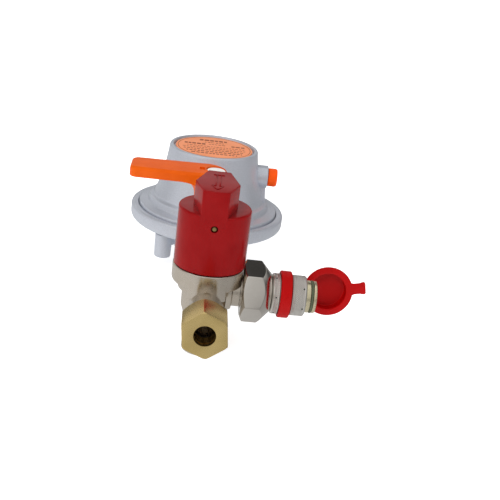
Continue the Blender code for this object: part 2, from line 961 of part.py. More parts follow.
def coupling_body(finish):
    """A tube held by the union nut, with radial holes for the locking balls."""
    tube = turned(
        [
            (3.0, 21.6),
            (6.5, 21.6),
            (6.5, 23.2),
            (5.3, 23.2),
            (5.3, 26.3),
            (5.7, 26.3),
            (5.7, 38.6),
            (4.9, 38.6),
            (4.9, 29.0),
            (3.0, 29.0),
        ],
        AT_COUPLING,
    )
    holes = []
    for index in range(LOCKING_BALLS):
        around = Matrix.Rotation(LOCKING_BALL_TURN + index * math.tau / LOCKING_BALLS, 4, "Z")
        reach = Matrix.Translation((0, 0, LOCKING_BALL_X)) @ around @ ALONG_X
        holes.append(rod(1.2, 3.5, 7.5, AT_COUPLING @ reach))
    return solid("coupling_body", cut(tube, *holes), finish)


def locking_ball(index, finish):
    angle = LOCKING_BALL_TURN + index * math.tau / LOCKING_BALLS
    reach = Vector((5.3 * math.cos(angle), 5.3 * math.sin(angle), LOCKING_BALL_X))
    return solid(f"locking_ball_{index + 1}", ball(0.85, AT_COUPLING @ reach, 5), finish)


def retaining_clip(finish):
    ring = turned([(6.0, 33.5), (7.0, 33.5), (7.0, 34.2), (6.0, 34.2)], AT_COUPLING)
    gap = box((30.0, BLOCK_Y - 9.0, COUPLING_Z - 1.0), (36.0, BLOCK_Y - 3.0, COUPLING_Z + 1.0))
    return solid("retaining_clip", cut(ring, gap), finish)


def coupling_sleeve(finish):
    sleeve = turned(
        [
            (6.0, SLEEVE_X),
            (8.0, SLEEVE_X),
            (SLEEVE_R, SLEEVE_X + 0.4),
            (SLEEVE_R, 29.0),
            (7.9, 29.2),
            (7.9, 34.3),
            (SLEEVE_R, 34.5),
            (SLEEVE_R, 39.4),
            (7.6, SLEEVE_END_X),
            (6.95, SLEEVE_END_X),
            (6.95, 37.4),
            (6.4, 37.4),
            (6.4, 36.2),
            (7.3, 36.2),
            (7.3, 28.2),
            (6.0, 28.2),
        ],
        AT_COUPLING,
    )
    return solid("coupling_sleeve", sleeve, finish, (SLEEVE_X, BLOCK_Y, COUPLING_Z))


def radial_axes():
    """Unit vectors of the dust cap: out from the coupling, and along its hinge."""
    out = Vector((0.0, math.cos(HINGE_TILT), math.sin(HINGE_TILT)))
    hinge = Vector((0.0, -math.sin(HINGE_TILT), math.cos(HINGE_TILT)))
    return out, hinge


def strap_frame():
    """Own X along the coupling, own Y back along the hinge, own Z out from the coupling's axis."""
    out, hinge = radial_axes()
    rows = [(1.0, 0.0, 0.0), (0.0, -hinge.y, out.y), (0.0, -hinge.z, out.z)]
    turn = Matrix(rows).to_4x4()
    return Matrix.Translation((0, BLOCK_Y, COUPLING_Z)) @ turn


def cap_tether(finish):
    """A loop in the sleeve's groove, with a strap that runs to the dust cap's edge."""
    loop = turned([(8.2, 29.5), (9.6, 29.5), (9.6, 34.0), (8.2, 34.0)], AT_COUPLING)
    strap = prism([(29.9, -2.8), (40.2, -2.8), (40.2, 2.8), (29.9, 2.8)], 8.9, 10.3, strap_frame())
    under = prism([(35.0, -4.0), (41.0, -4.0), (41.0, 4.0), (35.0, 4.0)], 8.0, 9.3, strap_frame())
    return solid("cap_tether", cut(union(loop, strap), under), finish, (0, BLOCK_Y, COUPLING_Z))


def dust_cap(finish):
    """A shallow cup with a wide lip, its mouth towards -Y, and a pull tab on the side away from the hinge."""
    middle = HINGE_X + HINGE_R
    low = HINGE_R - 0.5
    lip = low + 1.2
    place = strap_frame() @ Matrix.Translation((middle, 0, 0))
    cup = turned(
        [
            (0.0, low + DUST_CUP_DEPTH + 1.2),
            (0.0, low + DUST_CUP_DEPTH),
            (DUST_CUP_R, low + DUST_CUP_DEPTH),
            (DUST_CUP_R, low),
            (DUST_CAP_R, low),
            (DUST_CAP_R, lip),
            (DUST_CUP_R + 1.2, lip),
            (DUST_CUP_R + 1.2, low + DUST_CUP_DEPTH + 1.2),
        ],
        place,
    )
    half_tab = [(9.7, 2.8), (11.3, 2.3), (13.4, 2.3), (15.3, 2.8), (15.9, 2.5), (16.1, 2.0)]
    tab_outline = [(x, -y) for x, y in half_tab] + half_tab[::-1]
    tab = prism(tab_outline, low, lip, place @ Matrix.Rotation(DUST_TAB_TURN, 4, "Z"))
    out, _ = radial_axes()
    pivot = Vector((HINGE_X, BLOCK_Y, COUPLING_Z)) + out * HINGE_R
    return solid("dust_cap", union(cup, tab), finish, pivot)


def coupling_nipple(finish):
    nipple = turned(
        [
            (2.2, 31.0),
            (4.6, 31.0),
            (4.6, 34.6),
            (4.1, 35.0),
            (4.1, 37.0),
            (4.6, 37.4),
            (4.6, 38.9),
            (NIPPLE_R, 38.9),
            (NIPPLE_R, 42.1),
            (5.8, 42.1),
            (5.8, 43.3),
            (NIPPLE_R, 43.3),
            (NIPPLE_R, 44.3),
            (6.0, NIPPLE_END_X),
            (NIPPLE_BORE_R, NIPPLE_END_X),
            (NIPPLE_BORE_R, 41.4),
            (2.4, 41.0),
            (2.4, 40.6),
            (3.3, 40.2),
            (3.3, 34.2),
            (2.2, 34.2),
        ],
        AT_COUPLING,
    )
    return solid("coupling_nipple", nipple, finish)


def nipple_o_ring(finish):
    centre_r = 6.38
    profile = []
    for index in range(8):
        angle = index * math.tau / 8
        profile.append((centre_r + 0.38 * math.cos(angle), 42.7 + 0.45 * math.sin(angle)))
    return solid("nipple_o_ring", turned(profile, AT_COUPLING), finish)


def poppet(finish):
    shape = turned(
        [
            (0.0, 34.9),
            (0.9, 34.9),
            (0.9, 38.6),
            (2.9, 38.6),
            (2.9, 39.6),
            (2.1, 40.5),
            (0.0, 40.5),
        ],
        AT_COUPLING,
    )
    return solid("poppet", shape, finish)


def poppet_guide(finish):
    ring = turned([(1.2, 34.5), (3.0, 34.5), (3.0, 35.3), (1.2, 35.3)], AT_COUPLING)
    return solid("poppet_guide", ring, finish)


# ---------------------------------------------------------------- the whole object


def main():
    clear_scene()
    silver = material("silver_paint", (0.56, 0.59, 0.63), 0.42, 0.55)
    zinc = material("bare_zinc", (0.52, 0.53, 0.54), 0.45, 0.9)
    brass = material("brass", (0.69, 0.55, 0.28), 0.32, 1.0)
    pale_brass = material("pale_brass", (0.80, 0.72, 0.48), 0.3, 1.0)
    nickel = material("nickel_plate", (0.66, 0.63, 0.57), 0.28, 1.0)
    steel = material("steel", (0.55, 0.56, 0.58), 0.3, 1.0)
    orange = material("orange_plastic", (0.90, 0.24, 0.02), 0.42, 0.0)
    label = material("orange_label", (0.83, 0.36, 0.20), 0.5, 0.0)
    red = material("red_lacquer", (0.33, 0.012, 0.018), 0.25, 0.0)
    bright_red = material("red_rubber", (0.55, 0.01, 0.012), 0.5, 0.0)
    black = material("black_rubber", (0.03, 0.035, 0.03), 0.6, 0.0)
    white = material("white_plastic", (0.85, 0.84, 0.82), 0.4, 0.0)
    seat_white = material("seat_plastic", (0.88, 0.88, 0.85), 0.5, 0.0)

    lower_housing(silver)
    bonnet(silver)
    label_disc(label)
    adjusting_cap(zinc)
    solid("main_spring", coil(12.2, 1.8, 23.0, 49.9, 4.5), steel)
    diaphragm(black)
    diaphragm_plate(zinc)
    diaphragm_stem(brass)
    solid("relief_spring", coil(3.6, 0.8, 23.0, 31.3, 3.5, steps=10), steel)
    relief_nut(steel)
    rocker_lever(steel)
    rocker_pin(steel)
    valve_slider(brass)
    valve_pad(black)
    inlet_nozzle(brass)
    inlet_connector(brass)
    inlet_filter(steel)
    breather_plug(orange)
    breather_filter(white)

    valve_body(nickel)
    valve_tailpiece(nickel)
    ball_seat("ball_seat_rear", 1, seat_white)
    ball_seat("ball_seat_front", -1, seat_white)
    shutoff_ball(steel)
    valve_spindle(brass)
    spindle_o_ring(black)
    gland_nut(brass)
    lever_handle(orange)
    lever_screw(steel)
    lever_cover(white)

    valve_block(nickel)
    red_cap(red)
    cap_lock_pin(brass)
    shutter_guide(brass)
    guide_seal(black)
    sensor_cup(seat_white)
    sensor_ball(steel)
    shutter_plunger(brass)
    shutter_pad(black)
    shutter_seat(brass)
    solid("shutter_spring", coil(3.1, 0.7, 27.3, 37.9, 3.5, AT_BLOCK, steps=10), steel)

    outlet_nut(brass)
    cutting_ring(brass)

    union_nut(nickel)
    union_seal(black)
    coupling_body(nickel)
    for index in range(LOCKING_BALLS):
        locking_ball(index, steel)
    retaining_clip(steel)
    coupling_sleeve(nickel)
    solid("sleeve_spring", coil(6.65, 0.7, 28.5, 33.2, 2.5, AT_COUPLING), steel)
    cap_tether(bright_red)
    dust_cap(bright_red)
    coupling_nipple(pale_brass)
    nipple_o_ring(black)
    poppet(brass)
    poppet_guide(brass)
    solid("poppet_spring", coil(1.7, 0.5, 35.6, 38.3, 2.5, AT_COUPLING, steps=10), steel)


main()
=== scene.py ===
"""Low-pressure gas regulator set in a plain studio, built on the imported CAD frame.

Lengths in this script are millimetres in the CAD's own frame; finish_mesh() turns them into metres.
"""

import json
import math
import random

import bmesh
import bpy
from mathutils import Matrix, Vector


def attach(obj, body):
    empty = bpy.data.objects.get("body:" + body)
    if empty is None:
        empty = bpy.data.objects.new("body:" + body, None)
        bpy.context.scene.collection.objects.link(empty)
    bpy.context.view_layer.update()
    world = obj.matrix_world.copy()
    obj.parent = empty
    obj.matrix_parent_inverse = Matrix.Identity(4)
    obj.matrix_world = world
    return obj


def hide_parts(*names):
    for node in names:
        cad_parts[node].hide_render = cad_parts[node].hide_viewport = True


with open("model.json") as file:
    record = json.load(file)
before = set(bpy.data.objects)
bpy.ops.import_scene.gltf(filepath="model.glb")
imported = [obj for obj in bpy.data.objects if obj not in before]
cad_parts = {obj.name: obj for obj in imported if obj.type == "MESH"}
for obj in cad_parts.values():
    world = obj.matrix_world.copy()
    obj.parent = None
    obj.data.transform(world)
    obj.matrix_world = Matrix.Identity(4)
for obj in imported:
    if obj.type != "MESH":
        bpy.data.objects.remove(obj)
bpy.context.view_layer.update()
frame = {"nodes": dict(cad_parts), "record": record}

MM = 0.001

# Main axes and sizes, as in the CAD
PIPE_Z = 11.0
VALVE_Y = -73.5
BLOCK_Y = -113.2
OUTLET_Z = 27.0
COUPLING_Z = 29.6
BREATHER_Z = 44.0
LOCK_PIN_Z = 59.9
HEAD_TURN = math.radians(-2.8)
OUTLET_NUT_AF = 17.0
OUTLET_NUT_TURN = -0.117
UNION_NUT_AF = 22.2
UNION_NUT_TURN = math.radians(40)
SLEEVE_R = 8.33
SLEEVE_X = 26.3
SLEEVE_END_X = 40.2
STRAP_TILT = math.radians(-8.0)
DUST_TAB_TURN = math.radians(-11.0)

# A noise's values mostly lie between these two
NOISE_LOW = 0.3
NOISE_HIGH = 0.7


# ---------------------------------------------------------------- shapes


def facing(axis):
    """The turn that takes own Z to axis."""
    turn = Vector((0, 0, 1)).rotation_difference(Vector(axis))
    return turn.to_matrix().to_4x4()


ALONG_X = facing((1, 0, 0))
ALONG_Y = facing((0, 1, 0))
AT_PIPE = Matrix.Translation((0, 0, PIPE_Z)) @ ALONG_Y
AT_BREATHER = Matrix.Translation((0, 0, BREATHER_Z)) @ ALONG_X
AT_SPINDLE = Matrix.Translation((0, VALVE_Y, 0))
AT_BLOCK = Matrix.Translation((0, BLOCK_Y, 0))
AT_HEAD = AT_BLOCK @ Matrix.Rotation(HEAD_TURN, 4, "Z")
AT_LOCK_PIN = Matrix.Translation((0, 0, LOCK_PIN_Z)) @ ALONG_Y
AT_OUTLET = Matrix.Translation((0, 0, OUTLET_Z)) @ ALONG_Y
AT_COUPLING = Matrix.Translation((0, BLOCK_Y, COUPLING_Z)) @ ALONG_X


def face_outward(shape):
    bmesh.ops.recalc_face_normals(shape, faces=shape.faces)
    if shape.calc_volume(signed=True) < 0:
        bmesh.ops.reverse_faces(shape, faces=shape.faces)


def placed(shape, place):
    if place is not None:
        shape.transform(place)
    face_outward(shape)
    return shape


def arc(centre, radius, first, last, steps):
    """Points on an arc about centre, from first to last degrees."""
    angles = [math.radians(first + (last - first) * index / steps) for index in range(steps + 1)]
    return [(centre[0] + radius * math.cos(a), centre[1] + radius * math.sin(a)) for a in angles]


def rounded(points, closed, arcs):
    """Points (a, b) or (a, b, radius), with each corner that has a radius turned into an arc."""
    result = []
    count = len(points)
    for index, point in enumerate(points):
        here = Vector(point[:2])
        radius = point[2] if len(point) > 2 else 0.0
        inner = 0 < index < count - 1
        if radius <= 0.0 or not (closed or inner):
            result.append((here.x, here.y))
            continue
        before = Vector(points[index - 1][:2]) - here
        after = Vector(points[(index + 1) % count][:2]) - here
        reach_before, reach_after = before.length, after.length
        before.normalize()
        after.normalize()
        half = math.acos(max(-1.0, min(1.0, before.dot(after)))) / 2
        if half > math.radians(89) or half < math.radians(2):
            result.append((here.x, here.y))
            continue
        length = min(radius / math.tan(half), 0.49 * reach_before, 0.49 * reach_after)
        radius = length * math.tan(half)
        centre = here + (before + after).normalized() * radius / math.sin(half)
        start = here + before * length - centre
        end = here + after * length - centre
        sweep = math.atan2(start.x * end.y - start.y * end.x, start.dot(end))
        for step in range(arcs + 1):
            turn = Matrix.Rotation(sweep * step / arcs, 2)
            spot = centre + turn @ start
            result.append((spot.x, spot.y))
    return result


def steps_around(widest):
    """More steps around a wider shape, so that its rim stays smooth."""
    if widest > 20:
        return 144
    return 96 if widest > 7 else 64


def turned(profile, place=None, steps=None, arcs=5):
    """A solid of revolution from (radius, height) or (radius, height, corner radius) points."""
    on_axis = profile[0][0] == 0.0 and profile[-1][0] == 0.0
    outline = rounded(profile, not on_axis, arcs)
    shape = bmesh.new()
    points = [shape.verts.new((radius, 0.0, height)) for radius, height in outline]
    pairs = list(zip(points, points[1:]))
    if not on_axis:
        pairs.append((points[-1], points[0]))
    edges = [shape.edges.new(pair) for pair in pairs]
    bmesh.ops.spin(
        shape,
        geom=points + edges,
        axis=(0, 0, 1),
        cent=(0, 0, 0),
        angle=math.tau,
        steps=steps or steps_around(max(radius for radius, _ in outline)),
        use_merge=True,
    )
    bmesh.ops.remove_doubles(shape, verts=shape.verts, dist=1e-4)
    return placed(shape, place)


def prism(outline, low, high, place=None, arcs=6):
    """An upright solid from (x, y) or (x, y, corner radius) points."""
    outline = rounded(outline, True, arcs)
    shape = bmesh.new()
    base = shape.faces.new([shape.verts.new((x, y, low)) for x, y in outline])
    risen = bmesh.ops.extrude_face_region(shape, geom=[base])["geom"]
    tops = [item for item in risen if isinstance(item, bmesh.types.BMVert)]
    bmesh.ops.translate(shape, verts=tops, vec=(0, 0, high - low))
    return placed(shape, place)


def box(low, high):
    return prism(
        [(low[0], low[1]), (high[0], low[1]), (high[0], high[1]), (low[0], high[1])],
        low[2],
        high[2],
    )


def rod(radius, low, high, place=None, steps=None):
    return turned([(0.0, low), (radius, low), (radius, high), (0.0, high)], place, steps)


def hexagon(across_flats, turn=0.0, corner_radius=0.0):
    corner = across_flats / math.sqrt(3.0)
    angles = [turn + index * math.tau / 6 for index in range(6)]
    return [(corner * math.cos(a), corner * math.sin(a), corner_radius) for a in angles]


def combine(first, operation, *others):
    """A boolean of first with each of the others, all of which it uses up."""
    for other in others:
        holders = []
        for shape in (first, other):
            mesh = bpy.data.meshes.new("work")
            shape.to_mesh(mesh)
            shape.free()
            holder = bpy.data.objects.new("work", mesh)
            bpy.context.collection.objects.link(holder)
            holders.append(holder)
        modifier = holders[0].modifiers.new("combine", "BOOLEAN")
        modifier.operation = operation
        modifier.solver = "EXACT"
        modifier.object = holders[1]
        bpy.context.view_layer.update()
        graph = bpy.context.evaluated_depsgraph_get()
        result = holders[0].evaluated_get(graph).to_mesh()
        first = bmesh.new()
        first.from_mesh(result)
        holders[0].evaluated_get(graph).to_mesh_clear()
        for holder in holders:
            mesh = holder.data
            bpy.data.objects.remove(holder, do_unlink=True)
            bpy.data.meshes.remove(mesh)
        bmesh.ops.remove_doubles(first, verts=first.verts, dist=1e-4)
        bmesh.ops.dissolve_degenerate(first, edges=first.edges, dist=1e-4)
    return first


def union(first, *others):
    return combine(first, "UNION", *others)


def cut(first, *others):
    return combine(first, "DIFFERENCE", *others)


def common(first, *others):
    return combine(first, "INTERSECT", *others)


def joined(first, *others):
    """The shapes side by side in one mesh, without joining their walls."""
    for other in others:
        mesh = bpy.data.meshes.new("work")
        other.to_mesh(mesh)
        other.free()
        first.from_mesh(mesh)
        bpy.data.meshes.remove(mesh)
    return first


def soften(shape, width, segments=3, angle=30.0, above=-1000.0):
    """Rounds every edge sharper than angle that lies above a height."""
    sharp = [
        edge
        for edge in shape.edges
        if len(edge.link_faces) == 2
        and edge.calc_face_angle(0.0) > math.radians(angle)
        and min(vert.co.z for vert in edge.verts) > above
    ]
    bmesh.ops.bevel(
        shape,
        geom=sharp,
        offset=width,
        offset_type="OFFSET",
        segments=segments,
        profile=0.5,
        affect="EDGES",
        clamp_overlap=True,
        miter_outer="ARC",
    )
    return shape


def finish_mesh(name, shape, finish, angle=28.0):
    shape.transform(Matrix.Scale(MM, 4))
    mesh = bpy.data.meshes.new(name)
    shape.to_mesh(mesh)
    shape.free()
    mesh.materials.append(finish)
    mesh.shade_smooth()
    mesh.set_sharp_from_angle(angle=math.radians(angle))
    made = bpy.data.objects.new(name, mesh)
    bpy.context.collection.objects.link(made)
    return made


def piece(name, shape, finish, body, nodes, angle=28.0):
    """A detailed piece that rides on a CAD body and stands for its nodes."""
    made = finish_mesh(name, shape, finish, angle)
    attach(made, body)
    if nodes:
        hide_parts(*nodes)
    return made


# ---------------------------------------------------------------- materials


class Recipe:
    """A Principled material with a few shorthands for its procedural detail."""

    def __init__(self, name, metallic, rough, coat=0.0, coat_rough=0.1, specular=0.5):
        self.made = bpy.data.materials.new(name)
        self.made.use_nodes = True
        self.nodes = self.made.node_tree.nodes
        self.links = self.made.node_tree.links
        self.shader = self.nodes["Principled BSDF"]
        self.shader.inputs["Metallic"].default_value = metallic
        self.shader.inputs["Roughness"].default_value = rough
        self.shader.inputs["Specular IOR Level"].default_value = specular
        self.shader.inputs["Coat Weight"].default_value = coat
        self.shader.inputs["Coat Roughness"].default_value = coat_rough
        self.where = self.nodes.new("ShaderNodeTexCoord").outputs["Object"]
        self.height = None

    def noise(self, scale, detail):
        node = self.nodes.new("ShaderNodeTexNoise")
        node.inputs["Scale"].default_value = scale
        node.inputs["Detail"].default_value = detail
        node.inputs["Roughness"].default_value = 0.55
        self.links.new(self.where, node.inputs["Vector"])
        return node.outputs["Fac"]

    def tones(self, value, dark, light):
        """The base colour, from dark to light with the noise."""
        node = self.nodes.new("ShaderNodeValToRGB")
        stops = ((NOISE_LOW, dark), (NOISE_HIGH, light))
        for element, (position, colour) in zip(node.color_ramp.elements, stops):
            element.position = position
            element.color = (*colour, 1.0)
        self.links.new(value, node.inputs["Fac"])
        self.links.new(node.outputs["Color"], self.shader.inputs["Base Color"])

    def polish(self, value, low, high):
        """The roughness, from low to high with the noise."""
        node = self.nodes.new("ShaderNodeMapRange")
        node.inputs["From Min"].default_value = NOISE_LOW
        node.inputs["From Max"].default_value = NOISE_HIGH
        node.inputs["To Min"].default_value = low
        node.inputs["To Max"].default_value = high
        self.links.new(value, node.inputs["Value"])
        self.links.new(node.outputs["Result"], self.shader.inputs["Roughness"])

    def bump(self, value, strength, distance):
        """Fine relief, on top of any relief added before."""
        node = self.nodes.new("ShaderNodeBump")
        node.inputs["Strength"].default_value = strength
        node.inputs["Distance"].default_value = distance
        self.links.new(value, node.inputs["Height"])
        if self.height is not None:
            self.links.new(self.height, node.inputs["Normal"])
        self.height = node.outputs["Normal"]
        self.links.new(self.height, self.shader.inputs["Normal"])


def silver_paint():
    """Metallic paint: fine flakes, a cloudy gloss and a slight orange peel."""
    made = Recipe("silver_paint", 0.65, 0.36, coat=0.1, coat_rough=0.3)
    flakes = made.noise(2600.0, 2.0)
    made.tones(flakes, (0.56, 0.59, 0.65), (0.68, 0.71, 0.78))
    made.polish(made.noise(60.0, 3.0), 0.32, 0.42)
    made.bump(made.noise(900.0, 3.0), 0.10, 0.00012)
    made.bump(flakes, 0.06, 0.00005)
    return made.made


def metal(name, dark, light, rough, grain, bump=0.05):
    """A bare or plated metal with fine machining grain and slightly uneven polish."""
    made = Recipe(name, 1.0, sum(rough) / 2)
    made.tones(made.noise(90.0, 4.0), dark, light)
    fine = made.noise(grain, 2.0)
    made.polish(fine, *rough)
    made.bump(fine, bump, 0.00005)
    return made.made


def lacquer(name, dark, light, rough):
    """A smooth gloss coat whose colour and polish vary a little."""
    made = Recipe(name, 0.0, rough, specular=0.12)
    made.tones(made.noise(140.0, 3.0), dark, light)
    made.polish(made.noise(260.0, 2.0), rough * 0.85, rough * 1.2)
    made.bump(made.noise(240.0, 2.0), 0.012, 0.0002)
    return made.made


def moulded(name, dark, light, rough, grain=1400.0, bump=0.06):
    """Moulded plastic or rubber: faint mottling and a fine spark-eroded grain."""
    made = Recipe(name, 0.0, rough, specular=0.12)
    made.tones(made.noise(120.0, 3.0), dark, light)
    made.polish(made.noise(grain, 2.0), rough * 0.88, rough * 1.15)
    made.bump(made.noise(grain, 2.0), bump, 0.00006)
    return made.made


SILVER = silver_paint()
ZINC = metal("bare_zinc", (0.42, 0.43, 0.45), (0.56, 0.57, 0.59), (0.4, 0.55), 900.0)
BRASS = metal("brass", (0.68, 0.50, 0.19), (0.82, 0.62, 0.27), (0.24, 0.36), 2400.0, bump=0.02)
DARK_BRASS = metal(
    "dark_brass", (0.34, 0.26, 0.10), (0.46, 0.36, 0.16), (0.30, 0.42), 2400.0, bump=0.02,
)
PALE_BRASS = metal(
    "pale_brass", (0.84, 0.74, 0.48), (0.94, 0.85, 0.60), (0.24, 0.34), 2400.0, bump=0.01,
)
NICKEL = metal(
    "nickel_plate", (0.64, 0.57, 0.48), (0.72, 0.65, 0.56), (0.26, 0.32), 900.0, bump=0.006,
)
POLISHED = metal(
    "polished_nickel", (0.66, 0.62, 0.56), (0.73, 0.69, 0.63), (0.10, 0.15), 900.0, bump=0.004,
)
SLEEVE = metal(
    "sleeve_nickel", (0.76, 0.73, 0.68), (0.86, 0.83, 0.78), (0.28, 0.36), 900.0, bump=0.004,
)
STEEL = metal("steel", (0.50, 0.51, 0.53), (0.60, 0.61, 0.63), (0.25, 0.36), 1800.0)
ORANGE = moulded("orange_plastic", (0.70, 0.095, 0.002), (0.77, 0.115, 0.004), 0.38)
PLUG = moulded("plug_plastic", (0.84, 0.085, 0.004), (0.92, 0.10, 0.006), 0.38)
LABEL = moulded("orange_label", (0.78, 0.27, 0.12), (0.85, 0.31, 0.15), 0.42, 2600.0, 0.05)
INK = moulded("label_ink", (0.20, 0.06, 0.03), (0.28, 0.09, 0.045), 0.5, 2600.0, 0.05)
RED = lacquer("red_lacquer", (0.235, 0.003, 0.004), (0.265, 0.005, 0.006), 0.2)
RUBBER_RED = moulded("red_rubber", (0.37, 0.001, 0.001), (0.42, 0.001, 0.002), 0.5, 1600.0, 0.05)
BLACK = moulded("black_rubber", (0.020, 0.024, 0.020), (0.035, 0.042, 0.034), 0.5)
RING_RUBBER = moulded("ring_rubber", (0.07, 0.08, 0.05), (0.10, 0.115, 0.07), 0.4)
WHITE = moulded("white_plastic", (0.78, 0.77, 0.74), (0.86, 0.85, 0.82), 0.38)
SEAT = moulded("seat_plastic", (0.82, 0.82, 0.79), (0.89, 0.89, 0.86), 0.45)

BY_SLOT = {
    "silver_paint": SILVER,
    "bare_zinc": ZINC,
    "brass": BRASS,
    "pale_brass": PALE_BRASS,
    "nickel_plate": NICKEL,
    "steel": STEEL,
    "orange_plastic": ORANGE,
    "orange_label": LABEL,
    "red_lacquer": RED,
    "red_rubber": RUBBER_RED,
    "black_rubber": BLACK,
    "white_plastic": WHITE,
    "seat_plastic": SEAT,
}
for entry in frame["record"]["subparts"]:
    frame["nodes"][entry["node"]].material_slots[0].material = BY_SLOT[entry["material_slot"]]


# ---------------------------------------------------------------- regulator


def make_housing():
    """The lower shell with its rolled rim, two bracket bosses and the outlet and inlet necks."""
    outside = turned(
        [
            (0.0, 0.0),
            (15.5, 0.0, 1.2),
            (16.0, 9.6, 1.0),
            (17.5, 10.8, 1.5),
            (36.2, 17.2, 2.0),
            (39.9, 18.0, 2.2),
            (39.9, 25.0, 1.5),
            (36.4, 24.9, 0.5),
            (36.35, 24.0),
            (36.35, 20.2),
            (33.0, 20.2),
            (33.0, 19.0),
            (17.0, 12.8),
            (13.5, 10.6),
            (13.5, 3.0),
            (0.0, 3.0),
        ]
    )
    additions = []
    for sign in (1, -1):
        centre = Vector((-21.0, -25.0, 0)) * sign
        boss = turned(
            [(0.0, 4.4), (4.15, 4.4, 0.5), (4.35, 16.5), (0.0, 16.5)],
            Matrix.Translation(centre),
            48,
        )
        inward = (-centre).normalized()
        side = Vector((-inward.y, inward.x, 0)) * 1.4
        inner = centre + inward * 17.5
        web = [centre + side, inner + side, inner - side, centre - side]
        fin = prism([(point.x, point.y) for point in web], 9.0, 13.5)
        screw_hole = rod(2.1, 0.0, 13.5, Matrix.Translation(centre), 32)
        additions.append(cut(union(boss, soften(fin, 0.5)), screw_hole))
    additions.append(turned([(5.6, 18.0), (7.5, 18.0), (7.5, 41.0, 0.3), (5.6, 41.0, 0.2)], AT_PIPE))
    additions.append(turned([(6.6, -41.0), (8.5, -41.0, 0.3), (8.5, -17.0), (6.6, -17.0)], AT_PIPE))
    return joined(outside, *additions)


def make_bonnet():
    """The bell, open above for the label, with the breather's boss and web on its right side."""
    shell = turned(
        [
            (33.0, 21.6),
            (36.0, 21.6),
            (36.0, 26.3, 0.9),
            (31.2, 27.0, 0.9),
            (30.6, 30.2, 0.8),
            (28.4, 30.7, 1.6),
            (24.5, 44.0, 6.0),
            (23.8, 48.5, 6.0),
            (22.6, 57.4, 1.2),
            (20.9, 57.4, 0.5),
            (20.4, 55.6, 0.1),
            (17.6, 55.6),
            (17.6, 48.6),
            (21.7, 47.5),
            (22.4, 44.0),
            (26.6, 28.4),
            (27.4, 26.6),
            (31.5, 22.9),
        ],
        arcs=6,
    )
    boss_profile = [(0.0, 20.0), (5.9, 20.0), (5.9, 29.2, 0.5), (3.2, 29.2, 0.15)]
    boss_profile += [(3.2, 24.8), (0.0, 24.8)]
    boss = turned(boss_profile, AT_BREATHER)
    web_outline = [(20.0, 28.0), (30.2, 28.0, 0.8), (29.4, 32.0, 2.0), (28.8, 40.0)]
    web_outline += [(28.8, 44.0), (20.0, 44.0)]
    web = prism(web_outline, -2.4, 2.4, Matrix.Rotation(math.radians(90), 4, "X"))
    bell_room = [(0.0, 20.0), (29.0, 20.0), (29.0, 28.0), (26.9, 31.5), (23.4, 44.0)]
    bell_room += [(22.5, 57.0), (0.0, 57.0)]
    return joined(shell, cut(union(boss, soften(web, 0.8, 4)), turned(bell_room)))


def make_label():
    return turned([(0.0, 55.9), (19.8, 55.9), (19.8, 56.7, 0.15), (0.0, 56.7)], steps=128)


def make_print():
    """Plain bars and dashes in rows, with no letters, as thin raised ink."""
    picks = random.Random(11)
    low, high = 56.68, 56.74
    # Each row: first x, last x, middle y and height
    rows = [(-7.6, 7.6, 12.4, 2.3), (-5.0, 5.0, 8.6, 0.8), (-15.4, -4.6, 4.6, 2.3)]
    rows += [(9.0, 15.8, 4.6, 1.8)]
    rows += [(-2.8, 6.4, 5.2, 0.7), (-14.0, 15.6, 0.6, 0.7), (-16.2, 16.2, -2.4, 0.7)]
    rows += [(-15.6, 15.6, -5.4, 1.0), (-14.2, 14.2, -8.6, 1.3), (-11.6, 11.6, -11.8, 1.3)]
    shape = turned([(18.5, low), (18.8, low), (18.8, high), (18.5, high)], steps=96)
    for first, last, y, tall in rows:
        x = first
        while x < last - 0.6:
            wide = min(picks.uniform(0.9, 1.7) * (0.7 + 0.35 * tall), last - x)
            under, over = y - tall / 2, y + tall / 2
            corners = [(x, under), (x + wide, under), (x + wide, over), (x, over)]
            mark = prism([(*corner, 0.12) for corner in corners], low, high, arcs=2)
            shape = joined(shape, mark)
            x += wide + picks.uniform(0.35, 0.7)
    return shape


def make_plug():
    return turned(
        [
            (0.8, 24.6),
            (2.9, 24.6),
            (2.9, 29.5),
            (4.7, 29.5, 0.25),
            (4.75, 33.4, 0.5),
            (4.2, 34.2, 0.5),
            (0.8, 34.2, 0.15),
        ],
        AT_BREATHER,
    )


piece("housing", make_housing(), SILVER, "regulator", ["lower_housing"])
piece("bonnet_shell", make_bonnet(), SILVER, "regulator", ["bonnet"])
piece("label_film", make_label(), LABEL, "regulator", ["label_disc"])
piece("label_print", make_print(), INK, "regulator", [])
piece("vent_plug", make_plug(), PLUG, "regulator", ["breather_plug"])


# ---------------------------------------------------------------- inlet and shut-off valve


def make_inlet():
    tail = turned([(3.5, 31.4), (5.3, 31.4, 0.3), (5.3, 42.0), (3.5, 42.0)], AT_PIPE)
    collar = prism(hexagon(21.0, 0.0, 0.6), 41.3, 48.0, AT_PIPE)
    chamfer = [(0.0, 41.3), (10.9, 41.3), (12.3, 42.1), (12.3, 47.2), (10.9, 48.0), (0.0, 48.0)]
    collar = cut(common(collar, turned(chamfer, AT_PIPE)), rod(3.5, 40.0, 49.0, AT_PIPE))
    thread = [(9.2, 47.9), (9.2, 49.2, 0.2)]
    pitch = 1.8
    start = 49.6
    for turn in range(6):
        low = start + turn * pitch
        thread += [(10.0, low + 0.45, 0.12), (10.0, low + 0.75, 0.12), (9.05, low + 1.4, 0.2)]
    thread += [(9.2, 61.2, 0.2), (8.9, 62.0, 0.1), (3.9, 62.0, 0.1), (3.5, 61.6), (3.5, 47.9)]
    spigot = turned(thread, AT_PIPE, arcs=3)
    return joined(soften(collar, 0.15, 2), tail, spigot)


